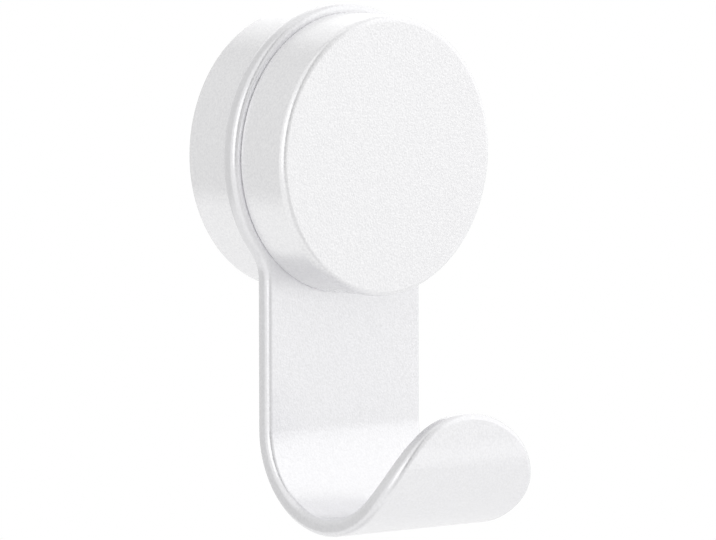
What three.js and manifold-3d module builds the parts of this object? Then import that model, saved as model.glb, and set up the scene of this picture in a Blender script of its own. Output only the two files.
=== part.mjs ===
// White wall hook: a round wall disc, a flat hook plate bent into a trough and a round front knob.
// One stud through the middle clamps the three together.
// Millimetres, +Z up, the wall on the +Y side. The origin is the centre of the face that meets the wall.
import * as THREE from 'three';
import { mergeVertices } from 'three/addons/utils/BufferGeometryUtils.js';
import Module from 'manifold-3d';

const wasm = await Module();
wasm.setup();

// Wall disc
const discDiameter = 40;
const discDepth = 8.5;
const discEdgeRadius = 0.35;
const wallRimWidth = 3.2;
const wallBossDiameter = 13;
const wallReliefDepth = 0.6;

// Countersunk holes for the two wall screws, one above the other
const screwHoleDiameter = 3.9;
const screwHeadDiameter = 7;
const screwHeadDepth = 2;
const screwSpacing = 22;

// Clamp stud, screwed into the disc from the front
const studDiameter = 6;
const studFloor = 2.4;
const studFit = 0.04;
const studTipChamfer = 0.7;

// Locating pins that stop the plate turning on the disc
const pinDiameter = 3;
const pinSpacing = 21;
const pinFloor = 3.2;
const pinFit = 0.04;
const pinShyOfPlateFace = 0.3;
const pinTipChamfer = 0.4;

// Hook plate: a flat blank with a round head and a round tip, bent through the trough angle
const plateThickness = 2.5;
const plateEdgeRadius = 0.9;
const headOverhang = 1.2;
const strapWidth = 29.5;
const neckFilletRadius = 6;
const straightDrop = 38.75;
const troughOuterRadius = 14.35;
const troughAngle = Math.PI;
const tongueRise = 3.2;
const plateHoleClearance = 0.3;

// Knob washer, held in a recess in the back of the knob
const washerDiameter = 36;
const washerThickness = 0.8;
const washerProud = 0.08;
const washerRimClearance = 0.2;
const washerBoreClearance = 0.3;

// Front knob
const knobDiameter = 40;
const knobDepth = 8.97;
const knobFrontEdgeRadius = 0.95;
const knobBackEdgeRadius = 0.3;
const knobFaceWall = 2.2;
const knobThreadClearance = 0.1;
const knobThreadLeadIn = 0.6;
const studEndClearance = 0.4;

// Facets of round forms
const discFacets = 72;
const studFacets = 32;
const pinFacets = 20;
const edgeSteps = 3;
const headSteps = 26;
const neckSteps = 5;
const troughSteps = 30;
const tipSteps = 16;

// How far a cutting tool runs past the face that it opens
const cutOvershoot = 1;

// Depths along the clamp axis, measured forward from the wall
const discRadius = discDiameter / 2;
const plateBackDepth = discDepth;
const plateFrontDepth = plateBackDepth + plateThickness;
const knobBackDepth = plateFrontDepth + washerProud;
const knobFrontDepth = knobBackDepth + knobDepth;
const washerSeatDepth = plateFrontDepth + washerThickness;
const knobBoreEndDepth = knobFrontDepth - knobFaceWall;
const studEndDepth = knobBoreEndDepth - studEndClearance;
const pinEndDepth = plateFrontDepth - pinShyOfPlateFace;

// Finishes
const powderCoat = new THREE.MeshStandardMaterial({ color: 0xf3f3f2, roughness: 0.5, metalness: 0 });
const zincedSteel = new THREE.MeshStandardMaterial({ color: 0xb9bcc0, roughness: 0.35, metalness: 1 });
const nylon = new THREE.MeshStandardMaterial({ color: 0xdfdfda, roughness: 0.6, metalness: 0 });

// Quarter-round corner of a turned profile: [radius, depth] points from one angle to another
function corner(radius, depth, edgeRadius, fromAngle, toAngle) {
  const points = [];
  for (let step = 0; step <= edgeSteps; step += 1) {
    const angle = fromAngle + ((toAngle - fromAngle) * step) / edgeSteps;
    points.push([radius + edgeRadius * Math.cos(angle), depth + edgeRadius * Math.sin(angle)]);
  }
  return points;
}

// Piece turned about the clamp axis, from [radius, depth] points that run from the front to the wall
function turned(profile, facets) {
  const points = profile.map(([radius, depth]) => new THREE.Vector2(radius, -depth));
  return new THREE.LatheGeometry(points, facets);
}

// Plain round bar between two depths, with its ends chamfered
function chamferedBar(radius, startDepth, endDepth, chamfer, facets) {
  const profile = [
    [0, endDepth],
    [radius - chamfer, endDepth],
    [radius, endDepth - chamfer],
    [radius, startDepth + chamfer],
    [radius - chamfer, startDepth],
    [0, startDepth],
  ];
  return turned(profile, facets);
}

// Cutting tool for a round hole between two depths
function holeCutter(radius, startDepth, endDepth, facets) {
  return turned([[0, endDepth], [radius, endDepth], [radius, startDepth], [0, startDepth]], facets);
}

// Closed geometry as a solid that can be cut
function solidOf(geometry) {
  const bare = geometry.clone();
  bare.deleteAttribute('normal');
  bare.deleteAttribute('uv');
  const merged = mergeVertices(bare);
  const triangles = [];
  for (let start = 0; start < merged.index.count; start += 3) {
    const [a, b, c] = [0, 1, 2].map((offset) => merged.index.getX(start + offset));
    if (a !== b && b !== c && c !== a) {
      triangles.push(a, b, c);
    }
  }
  const vertProperties = new Float32Array(merged.attributes.position.array);
  const triVerts = new Uint32Array(triangles);
  return new wasm.Manifold(new wasm.Mesh({ numProp: 3, vertProperties, triVerts }));
}

// Geometry left after cutting away a list of tools
function cutAway(geometry, cutters) {
  let solid = solidOf(geometry);
  for (const cutter of cutters) {
    solid = solid.subtract(solidOf(cutter));
  }
  const mesh = solid.getMesh();
  const result = new THREE.BufferGeometry();
  result.setAttribute('position', new THREE.BufferAttribute(new Float32Array(mesh.vertProperties), 3));
  result.setIndex(Array.from(mesh.triVerts));
  return result;
}

function named(name, geometry, material) {
  const mesh = new THREE.Mesh(geometry, material);
  mesh.name = name;
  return mesh;
}

// Wall disc: relieved behind so that it seats on its rim and its middle boss
function wallDiscGeometry() {
  const seatRadius = studDiameter / 2 + studFit;
  const edge = discRadius - discEdgeRadius;
  const bossRadius = wallBossDiameter / 2;
  const profile = [
    [0, studFloor],
    [seatRadius, studFloor],
    [seatRadius, discDepth],
    ...corner(edge, discDepth - discEdgeRadius, discEdgeRadius, Math.PI / 2, 0),
    ...corner(edge, discEdgeRadius, discEdgeRadius, 0, -Math.PI / 2),
    [discRadius - wallRimWidth, 0],
    [discRadius - wallRimWidth, wallReliefDepth],
    [bossRadius, wallReliefDepth],
    [bossRadius, 0],
    [0, 0],
  ];
  const cutters = [];
  for (const side of [-1, 1]) {
    const pinSeat = holeCutter(pinDiameter / 2 + pinFit, pinFloor, discDepth + cutOvershoot, pinFacets);
    cutters.push(pinSeat.translate((side * pinSpacing) / 2, 0, 0));
    cutters.push(screwHoleCutter().translate(0, 0, (side * screwSpacing) / 2));
  }
  return cutAway(turned(profile, discFacets), cutters);
}

// Wall screw hole with its countersink opening at the front of the disc
function screwHoleCutter() {
  const holeRadius = screwHoleDiameter / 2;
  const headRadius = screwHeadDiameter / 2;
  const profile = [
    [0, discDepth + cutOvershoot],
    [headRadius, discDepth + cutOvershoot],
    [headRadius, discDepth],
    [holeRadius, discDepth - screwHeadDepth],
    [holeRadius, -cutOvershoot],
    [0, -cutOvershoot],
  ];
  return turned(profile, pinFacets);
}

// Half outline of the flat blank, top to tip, as [half width, length below the head centre] points.
// The inset draws the outline in evenly, for the layers of the rounded edge.
function blankHalfOutline(inset) {
  const halfWidth = strapWidth / 2;
  const headRadius = discRadius + headOverhang;
  const neckReach = halfWidth + neckFilletRadius;
  const neckLength = Math.sqrt((headRadius + neckFilletRadius) ** 2 - neckReach ** 2);
  const neckAngle = Math.atan2(neckReach, neckLength);
  const tipCentre = blankLength() - halfWidth;
  const points = [];
  for (let step = 0; step <= headSteps; step += 1) {
    const angle = ((Math.PI - neckAngle) * step) / headSteps;
    points.push([(headRadius - inset) * Math.sin(angle), -(headRadius - inset) * Math.cos(angle)]);
  }
  for (let step = 1; step <= neckSteps; step += 1) {
    const angle = neckAngle + ((Math.PI / 2 - neckAngle) * step) / neckSteps;
    const reach = neckFilletRadius + inset;
    points.push([neckReach - reach * Math.sin(angle), neckLength - reach * Math.cos(angle)]);
  }
  for (let step = 0; step <= troughSteps; step += 1) {
    const length = straightDrop + (blankTroughLength() * step) / troughSteps;
    if (length < tipCentre) {
      points.push([halfWidth - inset, length]);
    }
  }
  for (let step = 0; step <= tipSteps; step += 1) {
    const angle = (Math.PI / 2) * (step / tipSteps);
    points.push([(halfWidth - inset) * Math.cos(angle), tipCentre + (halfWidth - inset) * Math.sin(angle)]);
  }
  return points;
}

// Length of the blank that the trough takes up, along the middle of its thickness
function blankTroughLength() {
  return (troughOuterRadius - plateThickness / 2) * troughAngle;
}

// Length of the blank from the head centre to the tip
function blankLength() {
  return straightDrop + blankTroughLength() + tongueRise;
}

// Point of the bent plate for a point of the flat blank and its height above the plate's back face
function bentPoint(x, length, height) {
  const intoTrough = length - straightDrop;
  if (intoTrough <= 0) {
    return [x, -height, -length];
  }
  const angle = Math.min(intoTrough / (blankTroughLength() / troughAngle), troughAngle);
  const beyond = Math.max(intoTrough - blankTroughLength(), 0);
  const radius = troughOuterRadius - height;
  const forward = troughOuterRadius - radius * Math.cos(angle) + beyond * Math.sin(angle);
  const drop = straightDrop + radius * Math.sin(angle) + beyond * Math.cos(angle);
  return [x, -forward, -drop];
}

// Closed mesh of the hook plate: layers of the blank's outline stacked through its thickness, then bent
function hookPlateGeometry() {
  const layers = [];
  for (const face of ['back', 'front']) {
    for (let step = 0; step <= edgeSteps; step += 1) {
      const turn = (Math.PI / 2) * (face === 'back' ? step / edgeSteps : 1 - step / edgeSteps);
      const sunk = plateEdgeRadius * (1 - Math.cos(turn));
      const height = face === 'back' ? sunk : plateThickness - sunk;
      layers.push({ inset: plateEdgeRadius * (1 - Math.sin(turn)), height });
    }
  }
  const positions = [];
  for (const { inset, height } of layers) {
    const right = blankHalfOutline(inset);
    const left = right.slice(1, -1).reverse().map(([half, length]) => [-half, length]);
    for (const [x, length] of [...right, ...left]) {
      positions.push(...bentPoint(x, length, height));
    }
  }
  const loop = positions.length / 3 / layers.length;
  const tip = loop / 2;
  const triangles = [];
  const quad = (a, b, c, d) => triangles.push(a, b, c, a, c, d);
  for (let layer = 0; layer + 1 < layers.length; layer += 1) {
    for (let at = 0; at < loop; at += 1) {
      const next = (at + 1) % loop;
      quad(layer * loop + at, (layer + 1) * loop + at, (layer + 1) * loop + next, layer * loop + next);
    }
  }
  const front = (layers.length - 1) * loop;
  for (let at = 0; at < tip; at += 1) {
    const mirrored = (loop - at) % loop;
    const nextMirrored = loop - at - 1;
    quad(mirrored, at, at + 1, nextMirrored);
    quad(front + at, front + mirrored, front + nextMirrored, front + at + 1);
  }
  const geometry = new THREE.BufferGeometry();
  geometry.setAttribute('position', new THREE.BufferAttribute(new Float32Array(positions), 3));
  geometry.setIndex(triangles);
  return geometry;
}

// Hook plate with its stud hole and pin holes
function drilledHookPlateGeometry() {
  const reach = plateThickness + cutOvershoot;
  const studHole = holeCutter(studDiameter / 2 + plateHoleClearance, -cutOvershoot, reach, studFacets);
  const pinHoles = [-1, 1].map((side) => {
    const hole = holeCutter(pinDiameter / 2 + plateHoleClearance / 2, -cutOvershoot, reach, pinFacets);
    return hole.translate((side * pinSpacing) / 2, 0, 0);
  });
  return cutAway(hookPlateGeometry(), [studHole, ...pinHoles]);
}

function knobWasherGeometry() {
  const outer = washerDiameter / 2;
  const bore = studDiameter / 2 + washerBoreClearance;
  const profile = [
    [bore, washerSeatDepth],
    [outer, washerSeatDepth],
    [outer, plateFrontDepth],
    [bore, plateFrontDepth],
    [bore, washerSeatDepth],
  ];
  return turned(profile, discFacets);
}

// Front knob: a solid button with a tapped blind hole and a recess for the washer behind
function frontKnobGeometry() {
  const radius = knobDiameter / 2;
  const recessRadius = washerDiameter / 2 + washerRimClearance;
  const boreRadius = studDiameter / 2 + knobThreadClearance;
  const frontEdge = radius - knobFrontEdgeRadius;
  const backEdge = radius - knobBackEdgeRadius;
  const profile = [
    [0, knobFrontDepth],
    ...corner(frontEdge, knobFrontDepth - knobFrontEdgeRadius, knobFrontEdgeRadius, Math.PI / 2, 0),
    ...corner(backEdge, knobBackDepth + knobBackEdgeRadius, knobBackEdgeRadius, 0, -Math.PI / 2),
    [recessRadius, knobBackDepth],
    [recessRadius, washerSeatDepth],
    [boreRadius + knobThreadLeadIn, washerSeatDepth],
    [boreRadius, washerSeatDepth + knobThreadLeadIn],
    [boreRadius, knobBoreEndDepth],
    [0, knobBoreEndDepth],
  ];
  return turned(profile, discFacets);
}

const hookPlate = named('hook_plate', drilledHookPlateGeometry(), powderCoat);
hookPlate.position.y = -plateBackDepth;

const studRadius = studDiameter / 2;
const studGeometry = chamferedBar(studRadius, studFloor, studEndDepth, studTipChamfer, studFacets);

const fixedPieces = new THREE.Group();
fixedPieces.add(named('wall_disc', wallDiscGeometry(), powderCoat));
fixedPieces.add(named('clamp_stud', studGeometry, zincedSteel));
fixedPieces.add(hookPlate);
for (const [name, side] of [['locating_pin_left', -1], ['locating_pin_right', 1]]) {
  const pinGeometry = chamferedBar(pinDiameter / 2, pinFloor, pinEndDepth, pinTipChamfer, pinFacets);
  const pin = named(name, pinGeometry, zincedSteel);
  pin.position.x = (side * pinSpacing) / 2;
  fixedPieces.add(pin);
}

const turningPieces = new THREE.Group();
turningPieces.add(named('knob_washer', knobWasherGeometry(), nylon));
turningPieces.add(named('front_knob', frontKnobGeometry(), powderCoat));

const wallHook = new THREE.Group();
wallHook.add(fixedPieces, turningPieces);

export default wallHook;
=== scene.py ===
"""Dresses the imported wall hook: fine meshes, finishes, studio light and the photograph's view."""

import logging
import math
from collections.abc import Callable
from dataclasses import dataclass, replace
from enum import Enum

import bmesh
import bpy
from mathutils import Matrix, Vector

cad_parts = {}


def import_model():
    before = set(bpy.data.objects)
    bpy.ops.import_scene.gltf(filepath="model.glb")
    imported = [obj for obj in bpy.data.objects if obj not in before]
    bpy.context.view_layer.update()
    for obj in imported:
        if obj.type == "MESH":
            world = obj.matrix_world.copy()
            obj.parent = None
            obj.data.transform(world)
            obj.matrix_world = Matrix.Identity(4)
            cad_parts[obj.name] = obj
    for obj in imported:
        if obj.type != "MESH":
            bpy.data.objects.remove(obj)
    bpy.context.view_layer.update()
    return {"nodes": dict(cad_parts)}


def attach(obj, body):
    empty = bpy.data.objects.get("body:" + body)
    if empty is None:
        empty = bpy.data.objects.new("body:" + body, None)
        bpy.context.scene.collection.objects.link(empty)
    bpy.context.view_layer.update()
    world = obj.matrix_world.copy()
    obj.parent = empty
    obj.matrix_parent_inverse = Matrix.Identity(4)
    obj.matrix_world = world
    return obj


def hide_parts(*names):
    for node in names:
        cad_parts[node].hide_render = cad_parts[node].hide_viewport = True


LOG = logging.getLogger("wall_hook")
MM = 0.001
# Points closer than this are one point.
NEAR = 1e-6
# How near a corner lies to the depth and the radius that it is picked by.
PICK_REACH = 10 * NEAR
RING_REACH = 50 * NEAR
# Cosine from which a face counts as looking along Y.
FACING = 0.99
ROUND_PROFILE = 0.5
SMOOTH_ANGLE = math.radians(32)
# Attribute of a sheet's mesh that marks its cut edge, where painted shade darkens the colour.
CUT_EDGE = "cut_edge"


class Slot(Enum):
    """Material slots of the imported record."""

    POWDER_COAT = "white_powder_coat"
    ZINC = "zinc_plated_steel"
    NYLON = "natural_nylon"


class Body(Enum):
    """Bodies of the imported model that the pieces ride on."""

    BASE = "base"
    WASHER = "washer"
    KNOB = "knob"


class Side(Enum):
    """The two faces of a flat or turned piece, as the way they look along Y."""

    WALL = 1
    FRONT = -1


def leave_edit_mode() -> None:
    """Returns to object mode with nothing selected."""
    if bpy.context.mode != "OBJECT":
        bpy.ops.object.mode_set(mode="OBJECT")
    bpy.ops.object.select_all(action="DESELECT")


def pick(piece: bpy.types.Object) -> None:
    """Makes a piece the only selected object, and the active one.

    Args:
        piece: The object to pick.
    """
    leave_edit_mode()
    piece.select_set(True)
    bpy.context.view_layer.objects.active = piece


def open_mesh(piece: bpy.types.Object, mode: str) -> None:
    """Opens a piece in edit mode with nothing selected.

    Args:
        piece: The object to edit.
        mode: The kind of element that is selected: VERT, EDGE or FACE.
    """
    pick(piece)
    bpy.ops.object.mode_set(mode="EDIT")
    bpy.ops.mesh.select_mode(type=mode)
    bpy.ops.mesh.select_all(action="DESELECT")


def select_whole(piece: bpy.types.Object) -> None:
    """Opens a piece with all of it selected.

    Args:
        piece: The object to edit.
    """
    open_mesh(piece, "VERT")
    bpy.ops.mesh.select_all(action="SELECT")


def select_faces(piece: bpy.types.Object, wanted: Callable[[bmesh.types.BMFace], bool]) -> None:
    """Opens a piece and selects the faces that pass a test.

    Args:
        piece: The object to edit.
        wanted: Tells whether a face is selected.
    """
    open_mesh(piece, "FACE")
    mesh = bmesh.from_edit_mesh(piece.data)
    for face in mesh.faces:
        face.select_set(wanted(face))
    bmesh.update_edit_mesh(piece.data)


def select_edges(piece: bpy.types.Object, wanted: Callable[[bmesh.types.BMEdge], bool]) -> None:
    """Opens a piece and selects the edges that pass a test.

    Args:
        piece: The object to edit.
        wanted: Tells whether an edge is selected.
    """
    open_mesh(piece, "EDGE")
    mesh = bmesh.from_edit_mesh(piece.data)
    for edge in mesh.edges:
        edge.select_set(wanted(edge))
    bmesh.update_edit_mesh(piece.data)


def select_vertex(piece: bpy.types.Object, place: Vector) -> None:
    """Opens a piece and selects the vertex nearest to a place.

    Args:
        piece: The object to edit.
        place: The point that the vertex lies at.
    """
    open_mesh(piece, "VERT")
    mesh = bmesh.from_edit_mesh(piece.data)
    nearest = min(mesh.verts, key=lambda vert: (vert.co - place).length)
    nearest.select_set(True)
    bmesh.update_edit_mesh(piece.data)


def radius_of(point: Vector) -> float:
    """Returns how far a point lies from the clamp axis."""
    return math.hypot(point.x, point.z)


def way_to(azimuth_deg: float, elevation_deg: float) -> Vector:
    """Gives the way out from the hook at two angles.

    Args:
        azimuth_deg: Angle round the hook, 0 at its front and positive to its right.
        elevation_deg: Angle above the level.

    Returns:
        The way, of length 1.
    """
    azimuth, elevation = math.radians(azimuth_deg), math.radians(elevation_deg)
    level = math.cos(elevation)
    return Vector((math.sin(azimuth) * level, -math.cos(azimuth) * level, math.sin(elevation)))


def single_vertex(name: str, place: tuple[float, float, float]) -> bpy.types.Object:
    """Adds a mesh of one vertex, open with the vertex selected.

    Args:
        name: The piece's name.
        place: Where the vertex lies.

    Returns:
        The object of the mesh.
    """
    leave_edit_mode()
    bpy.ops.mesh.primitive_plane_add(size=MM)
    piece = bpy.context.object
    piece.name = name
    piece.data.name = name
    select_whole(piece)
    bpy.ops.mesh.merge(type="CENTER")
    bpy.ops.transform.translate(value=place)
    return piece


def extrude_along(travel: float) -> None:
    """Extrudes the selected faces along Y.

    Args:
        travel: How far they move, positive towards the wall.
    """
    bpy.ops.mesh.extrude_region_move(TRANSFORM_OT_translate={"value": (0, travel, 0)})


def round_edges(edge: float, steps: int) -> None:
    """Rounds the selected edges.

    Args:
        edge: Radius of the rounding.
        steps: Facets across the rounding.
    """
    bpy.ops.mesh.bevel(
        offset=edge, offset_type="OFFSET", segments=steps, profile=ROUND_PROFILE, affect="EDGES"
    )


def merge_and_face_out(reach: float) -> None:
    """Merges the doubles in the selection and turns its faces outwards.

    Args:
        reach: How far apart two points may lie and still merge.
    """
    bpy.ops.mesh.remove_doubles(threshold=reach)
    bpy.ops.mesh.normals_make_consistent(inside=False)


def turned_blank(
    name: str, radius: float, back: float, front: float, facets: int
) -> bpy.types.Object:
    """Adds a round blank on the clamp axis.

    Args:
        name: The piece's name.
        radius: The blank's radius.
        back: Depth of its wall side, measured forward from the wall.
        front: Depth of its front side.
        facets: Number of facets round it.

    Returns:
        The blank, with its place in its mesh.
    """
    leave_edit_mode()
    bpy.ops.mesh.primitive_cylinder_add(
        vertices=facets,
        radius=radius,
        depth=front - back,
        end_fill_type="NGON",
        location=(0, -(back + front) / 2, 0),
        rotation=(math.pi / 2, 0, 0),
    )
    blank = bpy.context.object
    blank.name = name
    blank.data.name = name
    bpy.ops.object.transform_apply(location=True, rotation=True, scale=True)
    return blank


def select_round_face(piece: bpy.types.Object, side: Side, depth: float, within: float) -> None:
    """Selects the flat faces of a turned piece at one depth, out to a radius.

    Args:
        piece: The turned piece.
        side: The way the faces look.
        depth: Depth of the faces, forward from the wall.
        within: Only faces whose corners all lie inside this radius.
    """
    select_faces(
        piece,
        lambda face: face.normal.y * side.value > FACING
        and abs(face.calc_center_median().y + depth) < PICK_REACH
        and all(radius_of(vert.co) < within + PICK_REACH for vert in face.verts),
    )


def sink_round_step(piece: bpy.types.Object, rim: float, sink: float) -> None:
    """Insets the selected round face by a rim and pushes what is left along Y.

    Args:
        piece: The turned piece, open with its face selected.
        rim: Width of the ring that stays.
        sink: How far the inner face moves along Y.
    """
    bpy.ops.mesh.inset(thickness=rim, use_even_offset=True)
    extrude_along(sink)
    bmesh.update_edit_mesh(piece.data)


def round_ring(
    piece: bpy.types.Object, radius: float, depth: float, edge: float, steps: int
) -> None:
    """Rounds the circular edge of a turned piece at one radius and depth.

    Args:
        piece: The turned piece.
        radius: Radius of the edge.
        depth: Depth of the edge, forward from the wall.
        edge: Radius of the rounding.
        steps: Facets across the rounding.
    """
    select_edges(
        piece,
        lambda line: all(
            abs(vert.co.y + depth) < PICK_REACH and abs(radius_of(vert.co) - radius) < RING_REACH
            for vert in line.verts
        ),
    )
    round_edges(edge, steps)


def combine(piece: bpy.types.Object, tool: bpy.types.Object, operation: str) -> None:
    """Cuts or keeps part of a piece with a tool, and removes the tool.

    Args:
        piece: The piece that stays.
        tool: The closed tool.
        operation: DIFFERENCE or INTERSECT.
    """
    pick(piece)
    cut = piece.modifiers.new("cut", "BOOLEAN")
    cut.operation = operation
    cut.solver = "EXACT"
    cut.object = tool
    bpy.ops.object.modifier_apply(modifier=cut.name)
    bpy.data.objects.remove(tool)


def close_and_smooth(piece: bpy.types.Object) -> None:
    """Merges doubles, turns the faces outwards and shades flats flat and roundings round.

    Args:
        piece: The finished piece.
    """
    select_whole(piece)
    merge_and_face_out(NEAR / 2)
    pick(piece)
    bpy.ops.object.shade_smooth_by_angle(angle=SMOOTH_ANGLE)
    even = piece.modifiers.new("even", "WEIGHTED_NORMAL")
    even.mode = "FACE_AREA"
    even.keep_sharp = True
    bpy.ops.object.modifier_apply(modifier=even.name)


def hand_over(piece: bpy.types.Object, body: Body, node: str) -> None:
    """Ties a piece to its body and the solid that it stands for.

    Args:
        piece: The finished piece.
        body: The body that it rides on.
        node: The solid that it replaces.
    """
    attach(piece, body.value)
    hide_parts(node)
    LOG.info("%s stands for %s: %d faces", piece.name, node, len(piece.data.polygons))


class GrainGroup:
    """Shader group for the fine speckle and slow unevenness of a coated or moulded surface."""

    NAME = "fine_grain"
    INPUTS = {"Grain Scale": 2600.0, "Peel Scale": 420.0, "Slow Scale": 40.0, "Peel": 0.35}
    OUTPUTS = ("Height", "Speckle", "Slow")
    SPECKLE_FROM = 0.32
    SPECKLE_TO = 0.68

    def __init__(self) -> None:
        """Builds the group once."""
        self.tree = bpy.data.node_groups.new(self.NAME, "ShaderNodeTree")
        self._sockets()
        self._nodes()

    def _sockets(self) -> None:
        """Adds the named inputs and outputs."""
        face = self.tree.interface
        face.new_socket("Place", in_out="INPUT", socket_type="NodeSocketVector")
        for name, value in self.INPUTS.items():
            socket = face.new_socket(name, in_out="INPUT", socket_type="NodeSocketFloat")
            socket.default_value = value
        for name in self.OUTPUTS:
            face.new_socket(name, in_out="OUTPUT", socket_type="NodeSocketFloat")

    def _noise(
        self, source: bpy.types.Node, scale: str, detail: float, rough: float
    ) -> bpy.types.Node:
        """Adds one noise layer.

        Args:
            source: The group's input node.
            scale: Name of the input that gives its scale.
            detail: Number of finer octaves.
            rough: Weight of the finer octaves.

        Returns:
            The noise node.
        """
        noise = self.tree.nodes.new("ShaderNodeTexNoise")
        noise.inputs["Detail"].default_value = detail
        noise.inputs["Roughness"].default_value = rough
        self.tree.links.new(source.outputs["Place"], noise.inputs["Vector"])
        self.tree.links.new(source.outputs[scale], noise.inputs["Scale"])
        return noise

    def _nodes(self) -> None:
        """Adds the layers and joins them."""
        nodes, links = self.tree.nodes, self.tree.links
        source = nodes.new("NodeGroupInput")
        result = nodes.new("NodeGroupOutput")
        grain = self._noise(source, "Grain Scale", detail=2.0, rough=0.6)
        peel = self._noise(source, "Peel Scale", detail=1.0, rough=0.5)
        slow = self._noise(source, "Slow Scale", detail=2.0, rough=0.5)
        blend = nodes.new("ShaderNodeMix")
        blend.data_type = "FLOAT"
        links.new(source.outputs["Peel"], blend.inputs["Factor"])
        links.new(grain.outputs["Fac"], blend.inputs["A"])
        links.new(peel.outputs["Fac"], blend.inputs["B"])
        links.new(blend.outputs["Result"], result.inputs["Height"])
        speckle = nodes.new("ShaderNodeMapRange")
        speckle.inputs["From Min"].default_value = self.SPECKLE_FROM
        speckle.inputs["From Max"].default_value = self.SPECKLE_TO
        links.new(grain.outputs["Fac"], speckle.inputs["Value"])
        links.new(speckle.outputs["Result"], result.inputs["Speckle"])
        links.new(slow.outputs["Fac"], result.inputs["Slow"])


def colour_mix(
    tree: bpy.types.NodeTree, kind: str, share: bpy.types.NodeSocket
) -> tuple[bpy.types.NodeSocket, bpy.types.NodeSocket, bpy.types.NodeSocket]:
    """Adds a mix of two colours.

    Args:
        tree: The node tree that the mix goes into.
        kind: How the second colour acts on the first.
        share: How much the second colour counts.

    Returns:
        The sockets of the first colour, the second colour and the result.
    """
    mix = tree.nodes.new("ShaderNodeMix")
    mix.data_type = "RGBA"
    mix.blend_type = kind
    tree.links.new(share, mix.inputs["Factor"])
    first, second = (socket for socket in mix.inputs if socket.type == "RGBA")
    return first, second, next(socket for socket in mix.outputs if socket.type == "RGBA")


@dataclass(frozen=True)
class Finish:
    """A surface finish with a fine grain in its colour and relief, slow changes of gloss, and
    painted shade on cut edges if set.
    """

    name: str
    shade: tuple[float, float, float]
    spread: float
    roughness: float
    roughness_spread: float
    metallic: float
    grain_scale: float
    peel_scale: float
    peel: float
    relief: float
    specular: float = 0.5
    cut_edge_painted_shade: float = 1.0

    def material(self, grain: GrainGroup) -> bpy.types.Material:
        """Builds the finish as a material.

        Args:
            grain: The shared grain group.

        Returns:
            The material.
        """
        made = bpy.data.materials.new(self.name)
        made.use_nodes = True
        nodes, links = made.node_tree.nodes, made.node_tree.links
        surface = nodes["Principled BSDF"]
        surface.inputs["Metallic"].default_value = self.metallic
        surface.inputs["Specular IOR Level"].default_value = self.specular
        place = nodes.new("ShaderNodeTexCoord")
        layers = nodes.new("ShaderNodeGroup")
        layers.node_tree = grain.tree
        layers.inputs["Grain Scale"].default_value = self.grain_scale
        layers.inputs["Peel Scale"].default_value = self.peel_scale
        layers.inputs["Peel"].default_value = self.peel
        links.new(place.outputs["Object"], layers.inputs["Place"])
        colour = self._tone(made, layers)
        # Painted shade: darkens the flat of each cut edge by the cut-edge factor.
        if self.cut_edge_painted_shade < 1:
            colour = self._paint_shade_on_cut_edges(made, colour)
        links.new(colour, surface.inputs["Base Color"])
        gloss = nodes.new("ShaderNodeMapRange")
        gloss.inputs["To Min"].default_value = self.roughness - self.roughness_spread
        gloss.inputs["To Max"].default_value = self.roughness + self.roughness_spread
        links.new(layers.outputs["Slow"], gloss.inputs["Value"])
        links.new(gloss.outputs["Result"], surface.inputs["Roughness"])
        bump = nodes.new("ShaderNodeBump")
        bump.inputs["Strength"].default_value = 1.0
        bump.inputs["Distance"].default_value = self.relief
        links.new(layers.outputs["Height"], bump.inputs["Height"])
        links.new(bump.outputs["Normal"], surface.inputs["Normal"])
        return made

    def _tone(self, made: bpy.types.Material, layers: bpy.types.Node) -> bpy.types.NodeSocket:
        """Adds the speckled colour.

        Args:
            made: The material.
            layers: The grain group placed in it.

        Returns:
            The socket of the colour.
        """
        low = [level * (1 - self.spread) for level in self.shade]
        high = [min(level * (1 + self.spread), 1.0) for level in self.shade]
        darker, lighter, tone = colour_mix(made.node_tree, "MIX", layers.outputs["Speckle"])
        darker.default_value = (*low, 1)
        lighter.default_value = (*high, 1)
        return tone

    def _paint_shade_on_cut_edges(
        self, made: bpy.types.Material, colour: bpy.types.NodeSocket
    ) -> bpy.types.NodeSocket:
        """Greys the colour along the cut edges as painted shade.

        Args:
            made: The material.
            colour: The colour before the painted shade.

        Returns:
            The socket of the colour with painted shade on its edges.
        """
        mark = made.node_tree.nodes.new("ShaderNodeAttribute")
        mark.attribute_name = CUT_EDGE
        unshaded, grey, shaded_colour = colour_mix(made.node_tree, "MULTIPLY", mark.outputs["Fac"])
        grey.default_value = (self.cut_edge_painted_shade, self.cut_edge_painted_shade, self.cut_edge_painted_shade, 1)
        made.node_tree.links.new(colour, unshaded)
        return shaded_colour


POWDER_COAT = Finish(
    name="white_powder_coat_satin",
    shade=(0.925, 0.923, 0.939),
    spread=0.05,
    roughness=0.17,
    roughness_spread=0.02,
    metallic=0.5,
    grain_scale=3300.0,
    peel_scale=900.0,
    peel=0.3,
    relief=0.00004,
    # Painted shade: the flat of the plate's cut edge is darkened to 0.87 of the coat's colour.
    cut_edge_painted_shade=0.87,
)
GRAINY_POWDER_COAT = replace(
    POWDER_COAT,
    name="white_powder_coat_grainy",
    shade=(0.93, 0.928, 0.944),
    spread=0.07,
    roughness=0.21,
    relief=0.00005,
    cut_edge_painted_shade=1.0,
)
ZINC_PLATE = Finish(
    name="bright_zinc_plate",
    shade=(0.70, 0.71, 0.73),
    spread=0.06,
    roughness=0.3,
    roughness_spread=0.08,
    metallic=1.0,
    grain_scale=1800.0,
    peel_scale=300.0,
    peel=0.5,
    relief=0.00001,
)
MOULDED_NYLON = Finish(
    name="moulded_natural_nylon",
    shade=(0.84, 0.84, 0.81),
    spread=0.02,
    roughness=0.5,
    roughness_spread=0.06,
    metallic=0.0,
    grain_scale=2200.0,
    peel_scale=380.0,
    peel=0.3,
    relief=0.00001,
)


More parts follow.
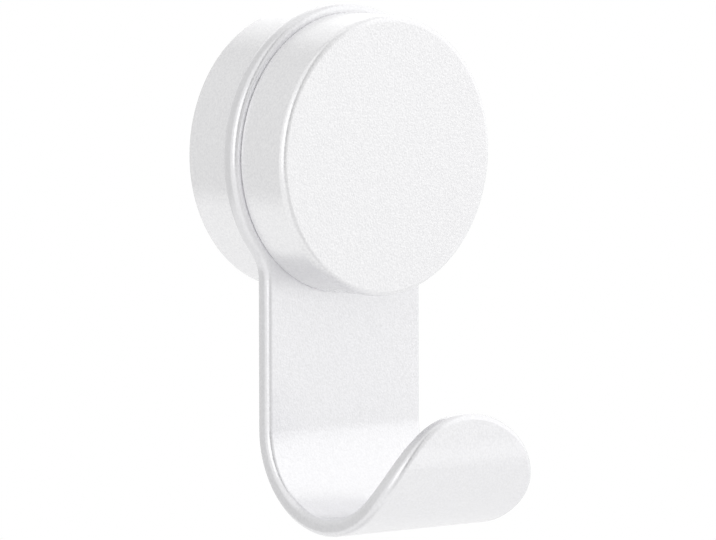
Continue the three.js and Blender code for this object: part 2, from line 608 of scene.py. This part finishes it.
@dataclass
class WallDisc:
    """The round disc that meets the wall."""

    radius: float = 20 * MM
    depth: float = 8.5 * MM
    edge: float = 0.35 * MM
    wall_rim: float = 3.2 * MM
    boss_radius: float = 6.5 * MM
    relief: float = 0.6 * MM
    stud_seat_radius: float = 3.04 * MM
    stud_floor: float = 2.4 * MM
    pin_seat_radius: float = 1.54 * MM
    pin_offset: float = 10.5 * MM
    pin_floor: float = 3.2 * MM
    screw_hole_radius: float = 1.95 * MM
    screw_head_radius: float = 3.5 * MM
    screw_head_depth: float = 2 * MM
    screw_offset: float = 11 * MM
    overshoot: float = 1 * MM
    facets: int = 256
    hole_facets: int = 48
    edge_steps: int = 6

    def build(self, finish: bpy.types.Material) -> None:
        """Models the disc and dresses it.

        Args:
            finish: The powder coat.
        """
        disc = turned_blank("wall_disc_body", self.radius, 0, self.depth, self.facets)
        self._relieve_back(disc)
        select_round_face(disc, Side.FRONT, self.depth, self.radius)
        sink_round_step(disc, self.radius - self.stud_seat_radius, self.depth - self.stud_floor)
        round_ring(disc, self.radius, self.depth, self.edge, self.edge_steps)
        round_ring(disc, self.radius, 0, self.edge, self.edge_steps)
        for way in (-1, 1):
            combine(disc, self._pin_seat_tool(way), "DIFFERENCE")
            combine(disc, self._screw_tool(way), "DIFFERENCE")
        close_and_smooth(disc)
        disc.data.materials.append(finish)
        hand_over(disc, Body.BASE, "wall_disc")

    def _relieve_back(self, disc: bpy.types.Object) -> None:
        """Sinks the ring between the rim and the boss that seat on the wall.

        Args:
            disc: The disc's blank.
        """
        select_round_face(disc, Side.WALL, 0, self.radius)
        sink_round_step(disc, self.wall_rim, -self.relief)
        sink_round_step(disc, self.radius - self.wall_rim - self.boss_radius, self.relief)

    def _pin_seat_tool(self, way: int) -> bpy.types.Object:
        """Makes the cutter of one pin seat.

        Args:
            way: Minus one for the left seat and one for the right.

        Returns:
            The cutter.
        """
        tool = turned_blank(
            "pin_seat_tool",
            self.pin_seat_radius,
            self.pin_floor,
            self.depth + self.overshoot,
            self.hole_facets,
        )
        tool.location.x = way * self.pin_offset
        return tool

    def _screw_tool(self, way: int) -> bpy.types.Object:
        """Makes the cutter of one countersunk screw hole.

        Args:
            way: Minus one for the lower hole and one for the upper.

        Returns:
            The cutter.
        """
        neck = self.depth - self.screw_head_depth
        tool = turned_blank(
            "screw_hole_tool", self.screw_hole_radius, -self.overshoot, neck, self.hole_facets
        )
        select_round_face(tool, Side.FRONT, neck, self.screw_hole_radius)
        extrude_along(-self.screw_head_depth)
        grow = self.screw_head_radius / self.screw_hole_radius
        bpy.ops.transform.resize(value=(grow, 1, grow))
        extrude_along(-self.overshoot)
        leave_edit_mode()
        tool.location.z = way * self.screw_offset
        return tool


@dataclass
class FrontKnob:
    """The round knob that screws down on the stud."""

    radius: float = 20 * MM
    back: float = 11.08 * MM
    front: float = 20.05 * MM
    front_edge: float = 0.95 * MM
    back_edge: float = 0.3 * MM
    recess_radius: float = 18.2 * MM
    recess: float = 0.72 * MM
    bore_radius: float = 3.1 * MM
    bore_end: float = 17.85 * MM
    facets: int = 256
    front_edge_steps: int = 10
    back_edge_steps: int = 5

    def build(self, finish: bpy.types.Material) -> None:
        """Models the knob and dresses it.

        Args:
            finish: The powder coat.
        """
        knob = turned_blank("front_knob_body", self.radius, self.back, self.front, self.facets)
        select_round_face(knob, Side.WALL, self.back, self.radius)
        sink_round_step(knob, self.radius - self.recess_radius, -self.recess)
        recess_floor = self.back + self.recess
        sink_round_step(knob, self.recess_radius - self.bore_radius, recess_floor - self.bore_end)
        round_ring(knob, self.radius, self.front, self.front_edge, self.front_edge_steps)
        round_ring(knob, self.radius, self.back, self.back_edge, self.back_edge_steps)
        close_and_smooth(knob)
        knob.data.materials.append(finish)
        hand_over(knob, Body.KNOB, "front_knob")


@dataclass
class KnobWasher:
    """The thin washer in the back of the knob."""

    radius: float = 18 * MM
    bore_radius: float = 3.3 * MM
    back: float = 11 * MM
    front: float = 11.8 * MM
    edge: float = 0.12 * MM
    overshoot: float = 1 * MM
    facets: int = 160
    bore_facets: int = 80
    edge_steps: int = 3

    def build(self, finish: bpy.types.Material) -> None:
        """Models the washer and dresses it.

        Args:
            finish: The nylon.
        """
        washer = turned_blank("knob_washer_ring", self.radius, self.back, self.front, self.facets)
        bore = turned_blank(
            "bore_tool",
            self.bore_radius,
            self.back - self.overshoot,
            self.front + self.overshoot,
            self.bore_facets,
        )
        for depth in (self.back, self.front):
            round_ring(washer, self.radius, depth, self.edge, self.edge_steps)
        combine(washer, bore, "DIFFERENCE")
        close_and_smooth(washer)
        washer.data.materials.append(finish)
        hand_over(washer, Body.WASHER, "knob_washer")


@dataclass
class ClampStud:
    """The threaded stud on the clamp axis, and the two locating pins beside it."""

    radius: float = 3 * MM
    root_radius: float = 2.39 * MM
    pitch: float = 1 * MM
    start: float = 2.4 * MM
    end: float = 17.45 * MM
    chamfer: float = 0.7 * MM
    blank_margin: float = MM / 100
    steps_a_turn: int = 48
    blank_facets: int = 96
    spare_turns: int = 3
    # From here on, parts of one pitch.
    root_flat: float = 0.125
    crest_from: float = 0.4375
    crest_to: float = 0.5625
    lead_in: float = 1.5
    end_trim: float = 0.3

    def build(self, finish: bpy.types.Material, nodes: dict[str, bpy.types.Object]) -> None:
        """Models the thread, and dresses the stud and the pins.

        Args:
            finish: The zinc plate.
            nodes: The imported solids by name.
        """
        stud = self._thread()
        reach = self.radius + self.blank_margin
        blank = turned_blank("stud_tool", reach, self.start, self.end, self.blank_facets)
        for depth in (self.start, self.end):
            round_ring(blank, reach, depth, self.chamfer, steps=1)
        combine(stud, blank, "INTERSECT")
        close_and_smooth(stud)
        stud.data.materials.append(finish)
        hand_over(stud, Body.BASE, "clamp_stud")
        for name in ("locating_pin_left", "locating_pin_right"):
            nodes[name].data.materials.clear()
            nodes[name].data.materials.append(finish)
            LOG.info("%s dressed as it is", name)

    def _thread(self) -> bpy.types.Object:
        """Winds the thread's profile along the axis and trims both ends.

        Returns:
            The threaded bar, longer than the stud and closed at both ends.
        """
        bar = self._profile()
        pick(bar)
        wind = bar.modifiers.new("wind", "SCREW")
        wind.axis = "Y"
        wind.angle = 2 * math.pi
        wind.screw_offset = self.pitch
        wind.iterations = math.ceil((self.end - self.start) / self.pitch) + self.spare_turns
        wind.steps = self.steps_a_turn
        wind.render_steps = self.steps_a_turn
        wind.use_merge_vertices = True
        wind.merge_threshold = NEAR
        bpy.ops.object.modifier_apply(modifier=wind.name)
        trim = self.end_trim * self.pitch
        for depth, outward in ((self.start - trim, 1), (self.end + trim, -1)):
            select_whole(bar)
            bpy.ops.mesh.bisect(
                plane_co=(0, -depth, 0),
                plane_no=(0, outward, 0),
                use_fill=True,
                clear_outer=True,
                threshold=NEAR,
            )
        select_whole(bar)
        merge_and_face_out(NEAR)
        leave_edit_mode()
        return bar

    def _profile(self) -> bpy.types.Object:
        """Draws one pitch of the thread's profile, from root to root.

        Returns:
            The open profile, in front of the stud's end.
        """
        first = -self.end - self.lead_in * self.pitch
        bar = single_vertex("clamp_stud_thread", (self.root_radius, first, 0))
        rise = self.radius - self.root_radius
        legs = (
            (0, self.root_flat),
            (rise, self.crest_from - self.root_flat),
            (0, self.crest_to - self.crest_from),
            (-rise, 1 - self.root_flat - self.crest_to),
            (0, self.root_flat),
        )
        for out, along in legs:
            step = (out, along * self.pitch, 0)
            bpy.ops.mesh.extrude_vertices_move(TRANSFORM_OT_translate={"value": step})
        return bar


@dataclass
class HookPlate:
    """The flat plate with a round head, bent into a trough with a round-ended tongue."""

    back: float = 8.5 * MM
    thickness: float = 2.5 * MM
    edge: float = 0.9 * MM
    head_radius: float = 21.2 * MM
    half_width: float = 14.75 * MM
    neck_fillet: float = 6 * MM
    straight_drop: float = 38.75 * MM
    trough_radius: float = 14.35 * MM
    tongue_rise: float = 3.2 * MM
    stud_hole_radius: float = 3.3 * MM
    pin_hole_radius: float = 1.65 * MM
    pin_offset: float = 10.5 * MM
    overshoot: float = 1 * MM
    seam_reach: float = 10 * NEAR
    head_steps: int = 110
    neck_steps: int = 22
    tip_steps: int = 64
    edge_steps: int = 9
    trough_cuts: int = 90
    hole_facets: int = 64

    @property
    def trough_length(self) -> float:
        """Length of flat plate that the trough takes, along the middle of its thickness."""
        return math.pi * (self.trough_radius - self.thickness / 2)

    @property
    def tip_centre(self) -> float:
        """Length from the head's centre to the centre of the round tip."""
        return self.straight_drop + self.trough_length + self.tongue_rise - self.half_width

    def build(self, finish: bpy.types.Material) -> None:
        """Models the plate flat, bends it and dresses it.

        Args:
            finish: The powder coat.
        """
        plate = self._outline()
        self._thicken(plate)
        self._drill(plate)
        self._slice_trough(plate)
        self._mark_cut_edge(plate)
        self._bend(plate)
        close_and_smooth(plate)
        plate.data.materials.append(finish)
        hand_over(plate, Body.BASE, "hook_plate")

    def _outline(self) -> bpy.types.Object:
        """Draws the right half of the flat outline with arcs and a straight, and mirrors it.

        Returns:
            The closed outline in the plane of the plate's back face.
        """
        reach = self.half_width + self.neck_fillet
        fall = math.sqrt((self.head_radius + self.neck_fillet) ** 2 - reach**2)
        neck = math.atan2(reach, fall)
        depth = -self.back
        plate = single_vertex("hook_plate_body", (0, depth, self.head_radius))
        self._arc((0, depth, 0), math.pi - neck, self.head_steps)
        across, down = self.head_radius * math.sin(neck), self.head_radius * math.cos(neck)
        select_vertex(plate, Vector((across, depth, -down)))
        self._arc((reach, depth, -fall), neck - math.pi / 2, self.neck_steps)
        select_vertex(plate, Vector((self.half_width, depth, -fall)))
        run = (0, 0, fall - self.tip_centre)
        bpy.ops.mesh.extrude_vertices_move(TRANSFORM_OT_translate={"value": run})
        select_vertex(plate, Vector((self.half_width, depth, -self.tip_centre)))
        self._arc((0, depth, -self.tip_centre), math.pi / 2, self.tip_steps)
        pick(plate)
        other_half = plate.modifiers.new("other_half", "MIRROR")
        other_half.use_axis = (True, False, False)
        other_half.merge_threshold = self.seam_reach
        bpy.ops.object.modifier_apply(modifier=other_half.name)
        return plate

    @staticmethod
    def _arc(centre: tuple[float, float, float], sweep: float, steps: int) -> None:
        """Spins the selected end of the outline round a centre.

        Args:
            centre: Centre of the arc.
            sweep: Angle of the arc, clockwise as seen from the front.
            steps: Straight lines in the arc.
        """
        bpy.ops.mesh.spin(
            steps=steps, angle=sweep, center=centre, axis=(0, -1, 0), use_auto_merge=False
        )

    def _thicken(self, plate: bpy.types.Object) -> None:
        """Fills the outline, gives it its thickness and rounds both edges.

        Args:
            plate: The closed outline.
        """
        select_whole(plate)
        bpy.ops.mesh.remove_doubles(threshold=NEAR)
        bpy.ops.mesh.edge_face_add()
        extrude_along(-self.thickness)
        bpy.ops.mesh.select_all(action="SELECT")
        bpy.ops.mesh.normals_make_consistent(inside=False)
        select_edges(plate, lambda line: abs(line.verts[0].co.y - line.verts[1].co.y) < NEAR)
        round_edges(self.edge, self.edge_steps)
        leave_edit_mode()

    def _drill(self, plate: bpy.types.Object) -> None:
        """Drills the stud hole and the two pin holes.

        Args:
            plate: The flat plate.
        """
        start = self.back - self.overshoot
        end = self.back + self.thickness + self.overshoot
        holes = (
            (0.0, self.stud_hole_radius),
            (-self.pin_offset, self.pin_hole_radius),
            (self.pin_offset, self.pin_hole_radius),
        )
        for across, radius in holes:
            drill = turned_blank("drill_tool", radius, start, end, self.hole_facets)
            drill.location.x = across
            combine(plate, drill, "DIFFERENCE")

    def _slice_trough(self, plate: bpy.types.Object) -> None:
        """Cuts the part of the flat plate that bends into narrow strips.

        Args:
            plate: The flat plate.
        """
        open_mesh(plate, "VERT")
        for cut in range(self.trough_cuts + 1):
            level = -self.straight_drop - self.trough_length * cut / self.trough_cuts
            bpy.ops.mesh.select_all(action="SELECT")
            bpy.ops.mesh.bisect(plane_co=(0, 0, level), plane_no=(0, 0, 1), threshold=NEAR)
        leave_edit_mode()

    def _mark_cut_edge(self, plate: bpy.types.Object) -> None:
        """Marks the cut edge that takes the painted shade: 1 on its flat, falling to 0 across its
        roundings.

        Args:
            plate: The flat plate.
        """
        marks = plate.data.attributes.new(CUT_EDGE, "FLOAT", "POINT")
        middle = -self.back - self.thickness / 2
        flat = self.thickness / 2 - self.edge
        for vert, mark in zip(plate.data.vertices, marks.data):
            across = (abs(vert.co.y - middle) - flat) / self.edge
            mark.value = 1 - min(max(across, 0), 1)

    def _bend(self, plate: bpy.types.Object) -> None:
        """Bends the trough through half a turn about its middle layer.

        Args:
            plate: The sliced flat plate.
        """
        heights = [vert.co.z for vert in plate.data.vertices]
        low, high = min(heights), max(heights)
        bpy.ops.object.empty_add(location=(0, -self.back - self.thickness / 2, -self.straight_drop))
        bend_start = bpy.context.object
        pick(plate)
        bend = plate.modifiers.new("bend", "SIMPLE_DEFORM")
        bend.deform_method = "BEND"
        bend.deform_axis = "X"
        bend.origin = bend_start
        bend.angle = -math.pi
        bend.limits[0] = (-self.straight_drop - self.trough_length - low) / (high - low)
        bend.limits[1] = (-self.straight_drop - low) / (high - low)
        bpy.ops.object.modifier_apply(modifier=bend.name)
        bpy.data.objects.remove(bend_start)


def join_values(
    tree: bpy.types.NodeTree,
    operation: str,
    one: bpy.types.NodeSocket,
    other: bpy.types.NodeSocket,
) -> bpy.types.NodeSocket:
    """Joins two values by one operation.

    Args:
        tree: The node tree that the operation goes into.
        operation: Its kind, as the math node names it.
        one: The first value.
        other: The second value.

    Returns:
        The socket of the result.
    """
    node = tree.nodes.new("ShaderNodeMath")
    node.operation = operation
    tree.links.new(one, node.inputs[0])
    tree.links.new(other, node.inputs[1])
    return node.outputs["Value"]


def smooth_step(
    tree: bpy.types.NodeTree,
    value: bpy.types.NodeSocket,
    start: float,
    end: float,
    first: float = 0.0,
    last: float = 1.0,
) -> bpy.types.NodeSocket:
    """Adds a smooth step between two levels.

    Args:
        tree: The node tree that the step goes into.
        value: What the step follows.
        start: The value up to which the first level holds.
        end: The value from which the last level holds.
        first: The first level.
        last: The last level.

    Returns:
        The step's socket.
    """
    step = tree.nodes.new("ShaderNodeMapRange")
    step.interpolation_type = "SMOOTHSTEP"
    step.inputs["From Min"].default_value = start
    step.inputs["From Max"].default_value = end
    step.inputs["To Min"].default_value = first
    step.inputs["To Max"].default_value = last
    tree.links.new(value, step.inputs["Value"])
    return step.outputs["Result"]


def level_way(
    tree: bpy.types.NodeTree, way: bpy.types.NodeSocket
) -> tuple[bpy.types.NodeSocket, bpy.types.NodeSocket]:
    """Splits a way into its level heading and its level length.

    Args:
        tree: The node tree that the nodes go into.
        way: The way, from the clamp axis outwards.

    Returns:
        The sockets of the heading, of length 1, and of the length.
    """
    level = tree.nodes.new("ShaderNodeVectorMath")
    level.operation = "MULTIPLY"
    level.inputs[1].default_value = (1, 1, 0)
    tree.links.new(way, level.inputs[0])
    heading = tree.nodes.new("ShaderNodeVectorMath")
    heading.operation = "NORMALIZE"
    tree.links.new(level.outputs["Vector"], heading.inputs[0])
    length = tree.nodes.new("ShaderNodeVectorMath")
    length.operation = "LENGTH"
    tree.links.new(level.outputs["Vector"], length.inputs[0])
    return heading.outputs["Vector"], length.outputs["Value"]


def seen_by_eye(tree: bpy.types.NodeTree) -> bpy.types.NodeSocket:
    """Adds the test for rays from the eye, mirrored or through glass too.

    Args:
        tree: The node tree that the test goes into.

    Returns:
        A socket that is 1 for such rays.
    """
    path = tree.nodes.new("ShaderNodeLightPath")
    seen = path.outputs["Is Camera Ray"]
    for name in ("Is Glossy Ray", "Is Transmission Ray"):
        seen = join_values(tree, "MAXIMUM", seen, path.outputs[name])
    return seen


@dataclass
class Softbox:
    """One soft lamp that faces the hook."""

    name: str
    azimuth_deg: float
    elevation_deg: float
    width: float
    height: float
    watts: float
    distance: float = 0.9
    aim: tuple[float, float, float] = (0, -0.015, -0.02)

    def build(self) -> None:
        """Adds the lamp."""
        leave_edit_mode()
        way = way_to(self.azimuth_deg, self.elevation_deg)
        bpy.ops.object.light_add(type="AREA", location=Vector(self.aim) + way * self.distance)
        lamp = bpy.context.object
        lamp.name = self.name
        lamp.rotation_euler = way.to_track_quat("Z", "Y").to_euler()
        lamp.data.shape = "RECTANGLE"
        lamp.data.size = self.width
        lamp.data.size_y = self.height
        lamp.data.energy = self.watts
        LOG.info("%s at azimuth %.0f", self.name, self.azimuth_deg)


@dataclass
class TentGap:
    """One upright gap between the white walls of the light tent.

    On the floor it fades in between floor_from and floor_to, metres out from the clamp axis.
    """

    azimuth_deg: float
    half_width_deg: float
    fade_deg: float
    level: float
    floor_from: float = 0.8
    floor_to: float = 1.5

    def shade(
        self,
        tree: bpy.types.NodeTree,
        heading: bpy.types.NodeSocket,
        away: bpy.types.NodeSocket | None,
    ) -> bpy.types.NodeSocket:
        """Adds the brightness of the walls or of the floor round this gap.

        Args:
            tree: The node tree of the surroundings or of the floor's paint.
            heading: The level way from the hook to the place.
            away: How far out on the floor the place is, or None for the walls.

        Returns:
            A socket that is 1 outside the gap and falls to the gap's level inside it.
        """
        azimuth = math.radians(self.azimuth_deg)
        along = tree.nodes.new("ShaderNodeVectorMath")
        along.operation = "DOT_PRODUCT"
        along.inputs[1].default_value = (math.sin(azimuth), -math.cos(azimuth), 0)
        tree.links.new(heading, along.inputs[0])
        shade = smooth_step(
            tree,
            along.outputs["Value"],
            start=math.cos(math.radians(self.half_width_deg + self.fade_deg)),
            end=math.cos(math.radians(self.half_width_deg - self.fade_deg)),
            first=1.0,
            last=self.level,
        )
        if away is None:
            return shade
        near = smooth_step(tree, away, self.floor_from, self.floor_to, first=1.0, last=0.0)
        return join_values(tree, "MAXIMUM", shade, near)


@dataclass
class Studio:
    """Plain pale floor, white surroundings and soft lamps."""

    floor_drop: float = 0.45
    floor_size: float = 60.0
    floor_shade: float = 0.88
    floor_roughness: float = 0.9
    near_floor: float = 0.05
    far_floor: float = 0.35
    ambient: float = 0.775
    gaps: tuple[TentGap, ...] = (
        TentGap(
            azimuth_deg=3, half_width_deg=24, fade_deg=14, level=0.73, floor_from=0.4, floor_to=0.7
        ),
        TentGap(azimuth_deg=-140, half_width_deg=20, fade_deg=12, level=0.74),
        TentGap(azimuth_deg=-174, half_width_deg=14, fade_deg=12, level=0.72),
        TentGap(
            azimuth_deg=-14, half_width_deg=11, fade_deg=5, level=0.28, floor_from=3.9, floor_to=4.8
        ),
    )
    lamps: tuple[Softbox, ...] = (
        Softbox(
            name="right_wall_softbox",
            azimuth_deg=70,
            elevation_deg=25,
            width=1.3,
            height=0.98,
            watts=1.12,
        ),
        Softbox(
            name="right_low_softbox",
            azimuth_deg=62,
            elevation_deg=-23,
            width=0.7,
            height=0.42,
            watts=0.13,
        ),
        Softbox(
            name="back_right_softbox",
            azimuth_deg=148,
            elevation_deg=14,
            width=0.5,
            height=0.6,
            watts=0.28,
        ),
        Softbox(
            name="left_front_softbox",
            azimuth_deg=-54,
            elevation_deg=15,
            width=0.55,
            height=0.7,
            watts=0.66,
        ),
        Softbox(
            name="top_softbox",
            azimuth_deg=126,
            elevation_deg=36,
            width=0.46,
            height=0.6,
            watts=0.19,
        ),
    )

    def build(self) -> None:
        """Sets up floor, surroundings and lamps."""
        self._floor()
        self._surroundings()
        for lamp in self.lamps:
            lamp.build()

    def _floor(self) -> None:
        """Lays the floor, which runs out to plain white far behind the hook."""
        leave_edit_mode()
        bpy.ops.mesh.primitive_plane_add(size=self.floor_size, location=(0, 0, -self.floor_drop))
        floor = bpy.context.object
        floor.name = "studio_floor"
        bpy.ops.object.transform_apply(location=True, rotation=True, scale=True)
        floor.data.materials.append(self._floor_paint())

    def _floor_paint(self) -> bpy.types.Material:
        """Builds the floor's paint: matt and pale near the hook, white to the eye further out.

        Returns:
            The material.
        """
        paint = bpy.data.materials.new("studio_floor_paint")
        paint.use_nodes = True
        tree = paint.node_tree
        matt = tree.nodes["Principled BSDF"]
        matt.inputs["Base Color"].default_value = (*(self.floor_shade,) * 3, 1)
        matt.inputs["Roughness"].default_value = self.floor_roughness
        white = tree.nodes.new("ShaderNodeEmission")
        place = tree.nodes.new("ShaderNodeTexCoord")
        heading, away = level_way(tree, place.outputs["Object"])
        tree.links.new(self._tent_walls(tree, heading, away), white.inputs["Strength"])
        far = smooth_step(tree, away, self.near_floor, self.far_floor)
        blend = tree.nodes.new("ShaderNodeMixShader")
        share = join_values(tree, "MULTIPLY", far, seen_by_eye(tree))
        tree.links.new(share, blend.inputs["Fac"])
        tree.links.new(matt.outputs["BSDF"], blend.inputs[1])
        tree.links.new(white.outputs["Emission"], blend.inputs[2])
        tree.links.new(blend.outputs["Shader"], tree.nodes["Material Output"].inputs["Surface"])
        return paint

    def _surroundings(self) -> None:
        """Makes the surroundings white to the eye, with a soft even light from all round."""
        world = bpy.data.worlds.new("studio_surroundings")
        bpy.context.scene.world = world
        world.use_nodes = True
        tree = world.node_tree
        soft = tree.nodes["Background"]
        soft.inputs["Color"].default_value = (1, 1, 1, 1)
        soft.inputs["Strength"].default_value = self.ambient
        white = tree.nodes.new("ShaderNodeBackground")
        white.inputs["Color"].default_value = (1, 1, 1, 1)
        place = tree.nodes.new("ShaderNodeTexCoord")
        heading, _ = level_way(tree, place.outputs["Generated"])
        tree.links.new(self._tent_walls(tree, heading), white.inputs["Strength"])
        blend = tree.nodes.new("ShaderNodeMixShader")
        tree.links.new(seen_by_eye(tree), blend.inputs["Fac"])
        tree.links.new(soft.outputs["Background"], blend.inputs[1])
        tree.links.new(white.outputs["Background"], blend.inputs[2])
        tree.links.new(blend.outputs["Shader"], tree.nodes["World Output"].inputs["Surface"])

    def _tent_walls(
        self,
        tree: bpy.types.NodeTree,
        heading: bpy.types.NodeSocket,
        away: bpy.types.NodeSocket | None = None,
    ) -> bpy.types.NodeSocket:
        """Adds the white of the light tent, with grey gaps that only reflections show.

        Args:
            tree: The node tree that the walls go into.
            heading: The level way from the hook to the wall.
            away: How far out on the floor a place is, or None for the walls themselves.

        Returns:
            A socket with the brightness of the wall that a ray meets.
        """
        path = tree.nodes.new("ShaderNodeLightPath")
        darkest, *others = (gap.shade(tree, heading, away) for gap in self.gaps)
        for shade in others:
            darkest = join_values(tree, "MINIMUM", darkest, shade)
        return join_values(tree, "MAXIMUM", darkest, path.outputs["Is Camera Ray"])


@dataclass
class PhotoCamera:
    """The camera at the photograph's viewing angle."""

    azimuth_deg: float = -42.198
    elevation_deg: float = 5.215
    roll_deg: float = -0.112
    focal_pixels: float = 12876.99
    image_width: int = 716
    sensor: float = 36.0
    distance: float = 1.843382
    shift_right: float = -0.009289
    shift_up: float = 0.017518
    clip_start: float = 0.01
    clip_end: float = 200.0

    def build(self) -> None:
        """Adds the camera and makes it the scene's own."""
        leave_edit_mode()
        roll = math.radians(self.roll_deg)
        back = way_to(self.azimuth_deg, self.elevation_deg)
        level_right = (-back).cross(Vector((0, 0, 1))).normalized()
        level_up = level_right.cross(-back)
        right = math.cos(roll) * level_right + math.sin(roll) * level_up
        up = -math.sin(roll) * level_right + math.cos(roll) * level_up
        place = self.distance * back - self.shift_right * right - self.shift_up * up
        bpy.ops.object.camera_add()
        camera = bpy.context.object
        camera.name = "photo_camera"
        turn = Matrix((right, up, back)).transposed().to_4x4()
        camera.matrix_world = Matrix.Translation(place) @ turn
        camera.data.sensor_fit = "HORIZONTAL"
        camera.data.sensor_width = self.sensor
        camera.data.lens = self.sensor * self.focal_pixels / self.image_width
        camera.data.clip_start = self.clip_start
        camera.data.clip_end = self.clip_end
        bpy.context.scene.camera = camera
        LOG.info("camera at azimuth %.1f, lens %.0f mm", self.azimuth_deg, camera.data.lens)


def main() -> None:
    """Builds the hook on its frame, and the studio round it."""
    logging.basicConfig(level=logging.INFO, format="%(name)s: %(message)s")
    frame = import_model()
    bpy.context.scene.view_settings.view_transform = "Standard"
    grain = GrainGroup()
    coat = POWDER_COAT.material(grain)
    grainy_coat = GRAINY_POWDER_COAT.material(grain)
    zinc = ZINC_PLATE.material(grain)
    nylon = MOULDED_NYLON.material(grain)
    PhotoCamera().build()
    WallDisc().build(grainy_coat)
    HookPlate().build(coat)
    FrontKnob().build(grainy_coat)
    KnobWasher().build(nylon)
    ClampStud().build(zinc, frame["nodes"])
    Studio().build()
    leave_edit_mode()


if __name__ == "__main__":
    main()
